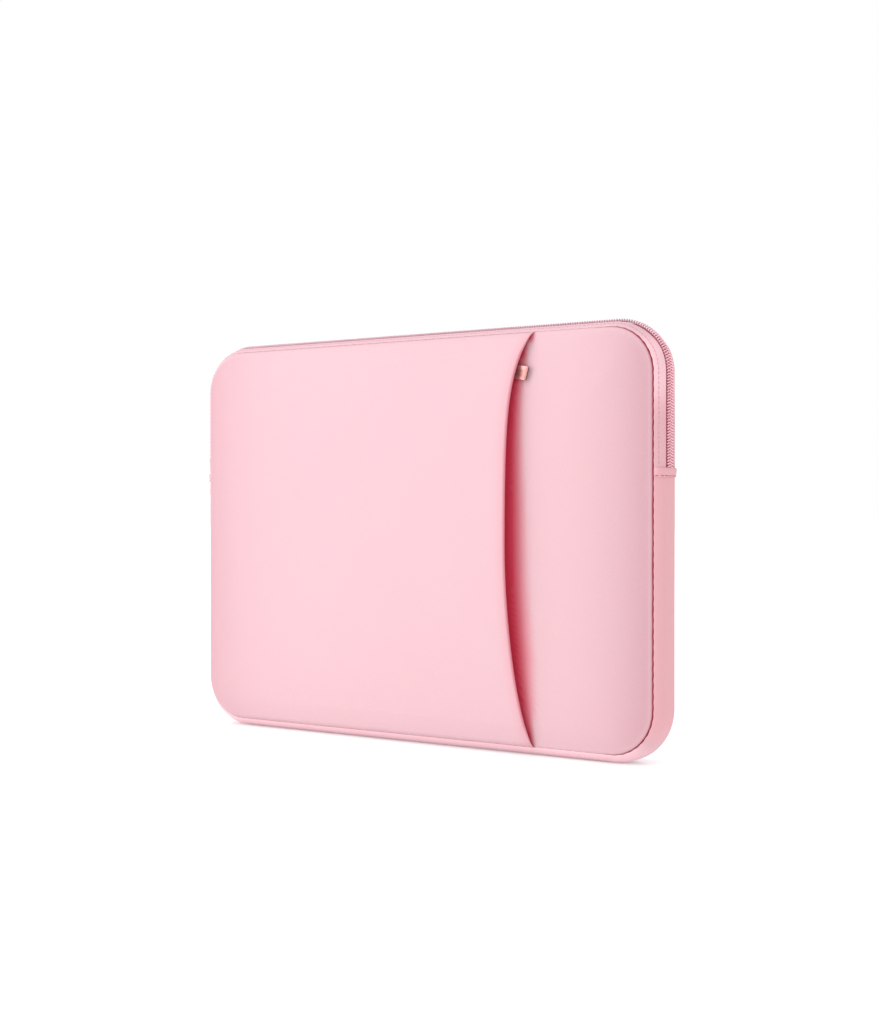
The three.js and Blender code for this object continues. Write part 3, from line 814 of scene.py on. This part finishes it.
def millimetres(side, points):
    return [(side * y * MM, out * MM) for y, out in points]


def tucked_edge(side):
    """From deep in the seam, round the gusset's soft edge, to its slope."""
    return millimetres(side, [
        (8.8, -5.10), (9.8, -5.12), (10.7, -5.15), (11.15, -5.08), (11.36, -4.88), (11.33, -4.62),
        (11.2, -4.4),
    ])


def slope(side, stations):
    return [(side * y * MM, float(gusset_profile(y * MM))) for y in stations]


def whole_gusset_section():
    """Right across: tucked edges, soft slopes and a nearly flat middle, then the inside."""
    stations = (0.0, 1.5, 3.0, 4.2, 5.4, 6.6, 7.6, 8.5, 9.3, 10.1, 10.7)
    outside = tucked_edge(-1) + slope(-1, stations[:0:-1])
    outside += slope(1, stations) + tucked_edge(1)[::-1]
    inside = slope(1, (7.6, 5.4, 3.0)) + slope(-1, (0.0, 3.0, 5.4, 7.6))
    return outside + [(y, out - COVER) for y, out in inside]


def strip_section(side):
    """From the seam to the folded edge beside the zip, then the inside."""
    outside = tucked_edge(side) + slope(side, (10.7, 10.1, 9.3, 8.5, 7.6, 6.8, 6.1, 5.5))
    fold = [(5.15, -0.63), (4.95, -0.8), (4.9, -1.05), (5.0, -1.3), (5.3, -1.5)]
    inside = [(6.4, -2.15), (7.6, -3.0), (8.4, -4.1)]
    return outside + millimetres(side, fold + inside)


def edge_pucker(section, distance):
    """The seam draws the strip's edge in between stitches."""
    y = np.abs(np.array(section)[:, 0])
    near_seam = np.clip((y - 9.2 * MM) / (2 * MM), 0, 1)
    return -0.12 * MM * near_seam * (1 + pucker_along(distance))


def zip_sag(y, out_z):
    """Over the top the strips lie lower beside the zip, so that its coil stands out over them."""
    depth = np.interp(np.abs(y), [3.4 * MM, 5 * MM, GUSSET_EDGE], [COIL_SAG, STRIP_SAG, 0])
    return depth * fade(out_z, 0.35, 0.95)


def shade_edges(strip, section, stations, paleness=0.0):
    """Painted shade where the strip turns down into the seams, painted light underneath and round
    the corners, painted shade over the top.
    """
    # painted shade where the strip turns down into the seams
    deep = fade(-np.array(section)[:, 1], 4.7 * MM, 5.05 * MM)
    mark(strip, "seam_painted_shade", deep * seam_strength(stations[:, :1]))
    out_z = stations[:, 3:] + np.zeros(len(section))
    corner = fade(stations[:, 1:2], *CORNER_RISE) * (1 - fade(out_z, 0.5, 0.9))
    over = OVER_PAINTED_SHADE * fade(out_z, 0.1, 0.9) + CORNER_PAINTED_LIGHT * corner
    mark(strip, "painted_light_shift", UNDER_PAINTED_LIGHT * fade(-out_z, 0.6, 1.0) + over)
    # Painted light: the strip takes the panels' paler pink where it faces up or down and round the
    # corners; along the zip that paleness is its own colour.
    pale = np.maximum(0.9 * corner, paleness)
    mark(strip, "panel_pink_and_painted_light", np.maximum(fade(np.abs(out_z), 0.2, 0.95), pale))


def make_gusset():
    distance, stations = arch((TAB_LOW + TAB_HIGH) / 2, False, FINE_STEP)
    section = whole_gusset_section()
    strip = sweep("gusset_strip", section, stations, shift=edge_pucker(section, distance))
    shade_edges(strip, section, stations)
    dress(strip, "gusset", "outer_fabric", "bottom_gusset")
    stations = arch(TAB_LOW, False)[1]
    pad_section = rounded_bar(-5.4 * MM, 5.4 * MM, -4.3 * MM, -2.4 * MM, 0.6 * MM)
    pad = sweep("gusset_foam", pad_section, stations)
    dress(pad, "foam", "foam", "bottom_gusset_padding")
    half = GUSSET_LINING_WIDTH / 2
    lining_section = rounded_bar(-half, half, -5.2 * MM, -4.5 * MM, 0.2 * MM)
    cloth = sweep("gusset_lining_cloth", lining_section, stations)
    dress(cloth, "lining", "lining_fabric", "bottom_gusset_lining")
    for piece in (strip, pad, cloth):
        ride_root(piece)


# ---- Zip ----

COIL_PITCH = 1.7 * MM
COIL_WIRE = 0.42 * MM
COIL_STEPS = 12
COIL_MIDDLE = -0.15 * MM  # the coil stands a little proud of the strips beside it
COIL_SIDES = 6
COIL_START = TAB_HIGH - 1.2 * MM


TAPE_SECTION = [
    (0.3, -1.4), (2.5, -1.36), (4.6, -1.4), (5.6, -2.0), (7.0, -3.2),
    (6.6, -3.7), (5.2, -2.7), (4.4, -2.1), (2.5, -2.06), (0.3, -2.1),
]


def helix_tube(name, centre):
    """The coil's round wire along the points of centre, with closed ends."""
    tangent = unit(np.gradient(centre, axis=0))
    across = unit(np.cross(tangent, (0.0, 1.0, 0.0)))
    up = np.cross(across, tangent)
    angle = 2 * math.pi * np.arange(COIL_SIDES) / COIL_SIDES
    cosine, sine = (turn(angle)[None, :, None] for turn in (np.cos, np.sin))
    points = centre[:, None] + COIL_WIRE * (cosine * across[:, None] + sine * up[:, None])
    return face_out(make_mesh(name, points, capped_faces(len(centre), COIL_SIDES)))


def make_coil(name, side):
    """Half a zip's coil: a flattened helix whose heads reach just past the middle."""
    total = arch_length(COIL_START, True)
    turns = int(total / COIL_PITCH) - 1
    theta = np.linspace(0, 2 * math.pi * turns, turns * COIL_STEPS + 1)
    offset = 0.5 if side > 0 else 0.0
    distance = COIL_PITCH * (theta / (2 * math.pi) + offset)
    stations = arch(COIL_START, True, at=distance)[1]
    y = side * (1.70 * MM + 1.52 * MM * np.cos(theta))
    x, z, out_x, out_z = stations.T
    out = COIL_MIDDLE + 0.62 * MM * np.sin(theta) - zip_sag(y, out_z)
    centre = stacked(x + out_x * out, y, z + out_z * out)
    coil = helix_tube(name, centre)
    # painted shade: the coil is painted greyer where it runs over the top
    mark(coil, "top_painted_shade", np.repeat(fade(out_z, 0.5, 1.0), COIL_SIDES))
    return coil


def make_zip():
    start = (TAB_LOW + TAB_HIGH) / 2 + 0.3 * MM
    distance, stations = arch(start, True, FINE_STEP)
    halves = (
        ("front", -1, fold_with_flap, ["_lower_left", "_lower_right", "_upper"]),
        ("back", 1, ride_root, [""]),
    )
    for word, side, move, endings in halves:
        section = strip_section(side)
        out_z = stations[:, 3:]
        shift = edge_pucker(section, distance) - zip_sag(np.array(section)[:, 0], out_z)
        strip = sweep(f"zip_strip_{word}", section, stations, shift=shift)
        shade_edges(strip, section, stations, STRIP_PALENESS)
        dress(strip, "gusset", "outer_fabric", *(f"{word}_zip_gusset{e}" for e in endings))
        section = millimetres(side, TAPE_SECTION)
        shift = -zip_sag(np.array(section)[:, 0], out_z)
        tape = sweep(f"zip_tape_{word}_half", section, stations, shift=shift)
        dress(tape, "tape", "zip_tape", *(f"{word}_zip_tape{e}" for e in endings))
        coil = make_coil(f"zip_teeth_{word}", side)
        dress(coil, "coil", "zip_coil", *(f"{word}_zip_coil{e}" for e in endings))
        for piece in (strip, tape, coil):
            move(piece)


# ---- Stitches: short thread capsules along a line ----

# Rings along a stitch, as shares of its length, radius and lift: it dips in at both ends.
STITCH_RINGS = (
    (-1, 0.25, -0.9), (-0.8, 0.75, -0.25), (-0.3, 1, 0.1),
    (0.3, 1, 0.1), (0.8, 0.75, -0.25), (1, 0.25, -0.9),
)
STITCH_SIDES = 6


def stitch_line(name, centres, alongs, ups, length, radius):
    points, faces = [], []
    for centre, along, up in zip(centres, alongs, ups):
        faces += capped_faces(len(STITCH_RINGS), STITCH_SIDES, len(points))
        across = np.cross(up, along)
        for share, size, lift in STITCH_RINGS:
            middle = centre + along * (share * length / 2) + up * (lift * radius)
            for i in range(STITCH_SIDES):
                angle = 2 * math.pi * i / STITCH_SIDES
                turn = math.cos(angle) * across + math.sin(angle) * up
                points.append(middle + radius * size * turn)
    return face_out(make_mesh(name, points, faces))


STITCH_ROW = 9.7 * MM  # from the middle plane
STITCH_PITCH = 2.9 * MM
STITCH_START = TAB_HIGH + 1.5 * MM


def row_beside_zip(name, side):
    y = side * STITCH_ROW
    at = (np.arange(int(arch_length(STITCH_START, True) / STITCH_PITCH)) + 0.5) * STITCH_PITCH
    x, z, out_x, out_z = arch(STITCH_START, True, at=at)[1].T
    out = float(gusset_profile(y)) + 0.05 * MM - zip_sag(y, out_z)
    centres = stacked(x + out_x * out, y, z + out_z * out)
    near, far = (float(gusset_profile(STITCH_ROW + step)) for step in (-0.1 * MM, 0.1 * MM))
    lean = side * (near - far) / (0.2 * MM)
    alongs, ups = stacked(-out_z, 0, out_x), unit(stacked(out_x, lean, out_z))
    return stitch_line(name, centres, alongs, ups, length=2.3 * MM, radius=0.2 * MM)


def make_topstitching():
    for word, side, move in (("front", -1, fold_with_flap), ("back", 1, ride_root)):
        line = row_beside_zip(f"zip_topstitch_{word}", side)
        dress(line, "thread", "outer_fabric")
        move(line)


# ---- Tabs over the ends of the zip ----

TAB_THICKNESS = 0.95 * MM
TAB_HEM = (
    (0.01, 0.3), (0.0, 0.55), (0.03, 0.76), (0.08, 0.78), (0.13, 0.58), (0.2, 0.78), (0.4, 1.02),
    (0.62, 1.25), (0.8, 1.3), (0.9, 1.2), (0.97, 0.9), (1.0, 0.5), (0.98, 0.15), (0.9, 0.02),
    (0.5, 0.02), (0.06, 0.02),
)


def tab_base(y):
    """The strips' outside under a tab, and the tab's own turn into the seam at its ends."""
    return gusset_profile(y) - 0.8 * MM * np.clip((np.abs(y) - 10.4 * MM) / (0.8 * MM), 0, 1) ** 2


def make_tab(word, side):
    """A folded band with a rounded hem at its top and bottom."""
    y = np.array([0.0, 0.15, 0.3, 0.45, 0.6, 0.72, 0.82, 0.9, 0.95, 0.98, 1.0])
    y = np.concatenate([-y[::-1], y[1:]]) * GUSSET_EDGE
    share, lift = np.array(TAB_HEM).T
    x = HALF_WIDTH + tab_base(y)[:, None] + TAB_THICKNESS * lift
    points = stacked(side * x, y[:, None], TAB_LOW + (TAB_HIGH - TAB_LOW) * share)
    tab = face_out(make_mesh(f"end_tab_{word}", points, capped_faces(*points.shape[:2])))
    dress(tab, "gusset", "outer_fabric", f"zip_end_tab_{word}")
    ride_root(tab)


def make_tab_stitches(word, side):
    y = np.arange(-10.8, 10.9, 2.4) * MM
    lean = tab_base(y + 0.2 * MM) - tab_base(y - 0.2 * MM)
    alongs = unit(stacked(side * lean, 0.4 * MM, 0))
    ups = side * stacked(alongs[:, 1], -alongs[:, 0], 0)
    x = side * (HALF_WIDTH + tab_base(y) + 0.7 * TAB_THICKNESS)
    centres = stacked(x, y, TAB_LOW + 0.75 * MM)
    name = f"tab_stitches_{word}"
    line = stitch_line(name, centres, alongs, ups, length=1.8 * MM, radius=0.26 * MM)
    dress(line, "deep_thread", "outer_fabric")
    ride_root(line)


def make_tabs():
    for word, side in (("left", -1), ("right", 1)):
        make_tab(word, side)
        make_tab_stitches(word, side)


# ---- Bindings over the seams inside ----

def make_bindings():
    bar = rounded_bar(5.9 * MM, 8.3 * MM, -6.1 * MM, -5.2 * MM, 0.4 * MM)
    for word, side, move, endings in (
        ("back", 1, ride_root, [""]), ("front", -1, fold_with_flap, ["_lower", "_upper"]),
    ):
        section = [(side * y, out) for y, out in bar]
        binding = sweep(f"seam_binding_{word}", section, ring_stations(), closed=True)
        dress(binding, "binding", "binding_tape", *(f"{word}_seam_binding{e}" for e in endings))
        move(binding)


# ---- Slider and pull ----

def rounded_block(low, high, bevel):
    work = bmesh.new()
    bmesh.ops.create_cube(work, size=1.0)
    low, high = Vector(low), Vector(high)
    size = high - low
    bmesh.ops.scale(work, vec=size, verts=work.verts)
    bmesh.ops.translate(work, vec=(low + high) / 2, verts=work.verts)
    bmesh.ops.bevel(
        work, geom=work.edges[:], offset=bevel, segments=2, profile=0.5, affect="EDGES",
        clamp_overlap=True,
    )
    return work


def join_works(name, works):
    mesh = bpy.data.meshes.new(name)
    whole = bmesh.new()
    for work in works:
        part = bpy.data.meshes.new("part")
        work.to_mesh(part)
        whole.from_mesh(part)
        bpy.data.meshes.remove(part)
        work.free()
    whole.to_mesh(mesh)
    whole.free()
    mesh.shade_smooth()
    return show(name, mesh)


def wing_outline(length, wide, narrow, steps=8):
    """A slider's plan: a broad rounded mouth that tapers to a narrower rounded end."""
    points = []
    for half, end, bulge in ((wide, -length / 2, -2.2 * MM), (-narrow, length / 2, 1.6 * MM)):
        for step in range(steps + 1):
            angle = math.pi * step / steps
            points.append((half * math.cos(angle), end - bulge + bulge * math.sin(angle)))
    return points


def closed_work(rings):
    """A bmesh through rings of points, with a cap at each end."""
    work = bmesh.new()
    points = [work.verts.new(point) for ring in rings for point in ring]
    *sides, first, last = capped_faces(len(rings), len(rings[0]))
    for face in sides + [first[::-1], last]:
        work.faces.new([points[i] for i in face])
    bmesh.ops.recalc_face_normals(work, faces=work.faces)
    return work


def wing(outline_points, centre_z, out_low, out_high, lift):
    """One plate of the slider, with a softened edge. Points are (depth y, height z)."""
    levels = (
        (out_low, 0.96, 0), (out_low + 0.15 * MM, 1.0, 0),
        (out_high - 0.3 * MM, 1.0, 0), (out_high, 0.86, lift),
    )
    rings = []
    for out, size, rise in levels:
        rings.append([
            (-(HALF_WIDTH + out + rise * (1 - (y / (5 * MM)) ** 2)), y * size, centre_z + z * size)
            for y, z in outline_points
        ])
    return closed_work(rings)


def bridge_arch(centre_z, half_length, low, high, half_width):
    """The raised loop that holds the pull, as a swept round-shouldered strap."""
    path = []
    for step in range(17):
        angle = math.pi * step / 16
        out = low + (high - low) * min(1.0, 1.35 * math.sin(angle))
        path.append((centre_z - half_length * math.cos(angle) * 0.98, out))
    rings = []
    for index, (z, out) in enumerate(path):
        before, after = path[max(index - 1, 0)], path[min(index + 1, len(path) - 1)]
        run, rise = after[0] - before[0], after[1] - before[1]
        size = math.hypot(run, rise)
        normal = (-rise / size, run / size)
        ring = []
        for step in range(10):
            angle = 2 * math.pi * step / 10
            y = half_width * math.cos(angle)
            thick = 0.5 * MM * math.sin(angle)
            ring.append((-(HALF_WIDTH + out + normal[1] * thick), y, z + normal[0] * thick))
        rings.append(ring)
    return closed_work(rings)


def make_slider():
    centre_z = (slider_low.z + slider_high.z) / 2
    length = slider_high.z - slider_low.z
    plan = wing_outline(length, wide=5.0 * MM, narrow=3.9 * MM)
    small_plan = [(y * 0.86, z * 0.97) for y, z in plan]
    bridge_top = -PULL_PIVOT.x - HALF_WIDTH + 1.35 * MM
    works = [
        wing(plan, centre_z, out_low=0.7 * MM, out_high=2.1 * MM, lift=0.25 * MM),
        wing(small_plan, centre_z, out_low=-4.3 * MM, out_high=-3.05 * MM, lift=0),
        bridge_arch(centre_z, 4.3 * MM, low=1.9 * MM, high=bridge_top, half_width=1.2 * MM),
    ]
    outside = -HALF_WIDTH - 0.9 * MM  # of the flanges and the neck between the two plates
    for y_low, y_high in ((-4.9 * MM, -3.9 * MM), (3.9 * MM, 4.9 * MM)):
        low = (outside, y_low, centre_z - 4.8 * MM)
        high = (-HALF_WIDTH + 0.8 * MM, y_high, centre_z + 4.8 * MM)
        works.append(rounded_block(low, high, 0.3 * MM))
    neck_low = (outside, -0.55 * MM, slider_low.z + 0.8 * MM)
    neck_high = (-HALF_WIDTH + 3.2 * MM, 0.55 * MM, slider_low.z + 4.2 * MM)
    works.append(rounded_block(neck_low, neck_high, 0.25 * MM))
    slider = join_works("zip_slider", works)
    dress(slider, "plated", "plated_metal", "slider_body")
    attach(slider, "slider")


PULL_LENGTH = 27 * MM  # below the pivot
PULL_HALF_WIDTH = 3.5 * MM
PULL_BEVEL = 0.22 * MM


def pull_outline(shrink, steps=10):
    half = PULL_HALF_WIDTH - shrink
    top = 0.6 * MM - shrink
    waist = 2.6 * MM - shrink
    bottom = PULL_HALF_WIDTH - PULL_LENGTH
    points = [(half, top), (half, -7.2 * MM), (waist, -11 * MM), (waist + 0.5 * MM, -17 * MM)]
    for step in range(steps + 1):
        angle = -math.pi * step / steps
        points.append((half * math.cos(angle), bottom + half * math.sin(angle)))
    return points + [(-y, z) for y, z in points[3::-1]]


def make_pull():
    half, top, bottom = 1.9 * MM, -0.6 * MM, -7.6 * MM
    window = [(half, top), (half, bottom), (-half, bottom), (-half, top)]
    curve = bpy.data.curves.new("pull_outline", "CURVE")
    curve.dimensions = "2D"
    curve.fill_mode = "BOTH"
    curve.extrude = 0.3 * MM
    curve.bevel_depth = PULL_BEVEL
    curve.bevel_resolution = 3
    for ring in (pull_outline(PULL_BEVEL), [(y * 1.1, z) for y, z in window]):
        spline = curve.splines.new("POLY")
        spline.points.add(len(ring) - 1)
        for point, (y, z) in zip(spline.points, ring):
            point.co = (y, z, 0, 1)
        spline.use_cyclic_u = True
    holder = show("pull_curve", curve)
    bpy.context.view_layer.update()
    mesh = bpy.data.meshes.new_from_object(holder)
    bpy.data.objects.remove(holder)
    # The curve's x is the sleeve's depth, its y is up, and its thickness is outwards.
    x, y, z = PULL_PIVOT
    mesh.transform(Matrix(((0, 0, 1, x), (1, 0, 0, y), (0, 1, 0, z), (0, 0, 0, 1))))
    mesh.shade_smooth()
    pull = show("zip_pull", mesh)
    dress(pull, "plated", "plated_metal", "pull_tab")
    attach(pull, "pull")


# ---- Metal tag ----

TAG_TILT = 0.18
TAG_SKEW = 0.12
TAG_WIDTH = 19 * MM
TAG_HEIGHT = 8.8 * MM
TAG_THICKNESS = 0.9 * MM
TAG_CORNER = 1.0 * MM
TAG_LEAN = -0.13  # the front dips towards the pocket's mouth, and the tag with it
TAG_BEND = 0.6 * MM  # the right-hand end is bent back
BEND_FROM = 0.65  # from this share of the way to the end
TAG_PAINTED_SHADOW = 0.75  # painted shadow of the pocket's lip across the tag: how dark it is
TAG_SHADOW_X = 4.6 * MM
TAG_SHADOW_WIDTH = 2.3 * MM


def make_tag():
    """A plate with softened edges, bent back at one end to follow the padding."""
    centre = (tag_low + tag_high) / 2
    # Rings from the front's middle round the rim: a share of the thickness, and mm in from it.
    rim = [(0.5, 0.35), (0.5, 0.12), (0.3, 0.0), (-0.3, 0.0), (-0.5, 0.12), (-0.5, 0.35)]
    front = [(0.5, 0.35 + further) for further in (3.0, 1.5, 0.5)]
    back = [(-0.5, 0.35 + further) for further in (0.5, 1.5, 3.0)]
    rings = front + rim + back
    points, shades = [], []
    for depth, shrink in rings:
        wide, high = TAG_WIDTH / 2 - shrink * MM, TAG_HEIGHT / 2 - shrink * MM
        corner = max(TAG_CORNER - shrink * MM, 0.3 * MM)
        loop = rounded_bar(-wide, wide, -high, high, corner, steps=6)
        for x, z in loop:
            bend = TAG_BEND * (max(2 * x / TAG_WIDTH - BEND_FROM, 0) / (1 - BEND_FROM)) ** 2
            points.append((x + TAG_SKEW * z, depth * TAG_THICKNESS + bend, z))
            # Painted shade: dark brown round the rim, and a painted shadow of the pocket's lip
            # across the face.
            lip_shadow = TAG_PAINTED_SHADOW * math.exp(-(((x - TAG_SHADOW_X) / TAG_SHADOW_WIDTH) ** 2))
            shades.append(1.0 if abs(depth) < 0.4 else lip_shadow)
    tag = make_mesh("tag_plate", points, capped_faces(len(rings), len(loop)))
    turn = Matrix.Rotation(TAG_TILT, 4, "Y") @ Matrix.Rotation(TAG_LEAN, 4, "Z")
    tag.data.transform(Matrix.Translation(centre) @ turn)
    face_out(tag)
    mark(tag, "tag_painted_shade", shades)
    dress(tag, "tag", "tag_metal", "metal_tag")
    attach(tag, "flap")


def dress_small_metal():
    for node in ("zip_stop_left", "zip_stop_right", "tag_washer"):
        paint(frame["nodes"][node], "plated")


# ---- Camera, floor and light ----

CAMERA_PLACE = Vector((0.6073, -0.8472, 0.1543))
CAMERA_TURN = math.radians(35.0)
CAMERA_TILT = math.radians(0.28)
LENS = 56.2


def make_camera():
    data = bpy.data.cameras.new("camera")
    data.sensor_width = 36
    data.lens = LENS
    camera = show("camera", data)
    camera.location = CAMERA_PLACE
    camera.rotation_euler = (math.pi / 2 - CAMERA_TILT, 0, CAMERA_TURN)
    bpy.context.scene.camera = camera


TABLE_GLOW = (0.16, 0.56)  # the glow beneath the sleeve, dimmed as a painted shadow, and clear of it


def make_floor():
    """A white table, lit a little from below as product tables are; its glow is dimmed close to the
    sleeve as a painted shadow.
    """
    reach = 8.0
    points = [(x, y, -0.05 * MM) for y in (-reach, reach) for x in (-reach, reach)]
    floor = make_mesh("floor", points, grid_faces(2, 2))
    nodes = Nodes("light_table")
    tone = nodes.mix(nodes.noise(3.0), rgb(0.64, 0.64, 0.64), rgb(0.66, 0.66, 0.66))
    nodes.set(Base_Color=tone, Roughness=0.8, Specular_IOR_Level=0.1)
    place = nodes.add("ShaderNodeSeparateXYZ", {"Vector": nodes.place})
    # painted shadow: the glow is dimmed close to the sleeve
    beside = nodes.ramp(nodes.math("ABSOLUTE", place.outputs["Y"]), 8 * MM, 25 * MM)
    beyond = nodes.ramp(nodes.math("ABSOLUTE", place.outputs["X"]), 140 * MM, 190 * MM)
    glow = nodes.ramp(nodes.math("MAXIMUM", beside, beyond), 0, 1, *TABLE_GLOW)
    nodes.set(Emission_Color=rgb(1, 1, 1), Emission_Strength=glow)
    floor.data.materials.append(nodes.material)


LIGHT_TARGET = Vector((0, 0, 0.12))


def make_light(name, place, size, watts):
    data = bpy.data.lights.new(name, "AREA")
    data.shape = "RECTANGLE"
    data.size = data.size_y = size
    data.energy = watts
    light = show(name, data)
    light.location = place
    light.rotation_euler = (LIGHT_TARGET - Vector(place)).to_track_quat("-Z", "Y").to_euler()


def make_lights():
    world = bpy.data.worlds.new("studio")
    world.use_nodes = True
    background = world.node_tree.nodes["Background"]
    background.inputs["Color"].default_value = rgb(1, 1, 1)
    background.inputs["Strength"].default_value = 1.0
    bpy.context.scene.world = world
    make_light("key", (-1.25, -1.6, 0.85), size=1.3, watts=19.5)
    make_light("top", (-0.6, -0.8, 2.1), size=1.4, watts=10.5)
    make_light("rim", (-0.8, 1.7, 1.3), size=1.2, watts=8)


# ---- The scene ----

make_camera()
make_floor()
make_lights()
bpy.context.scene.view_settings.view_transform = "Standard"
make_panel("front", front_face, 1, ("_lower", "_upper"), fold_with_flap)
make_panel("back", back_face, -1, ("",), ride_root)
make_pocket()
make_gusset()
make_zip()
make_topstitching()
make_tabs()
make_bindings()
make_slider()
make_pull()
make_tag()
dress_small_metal()
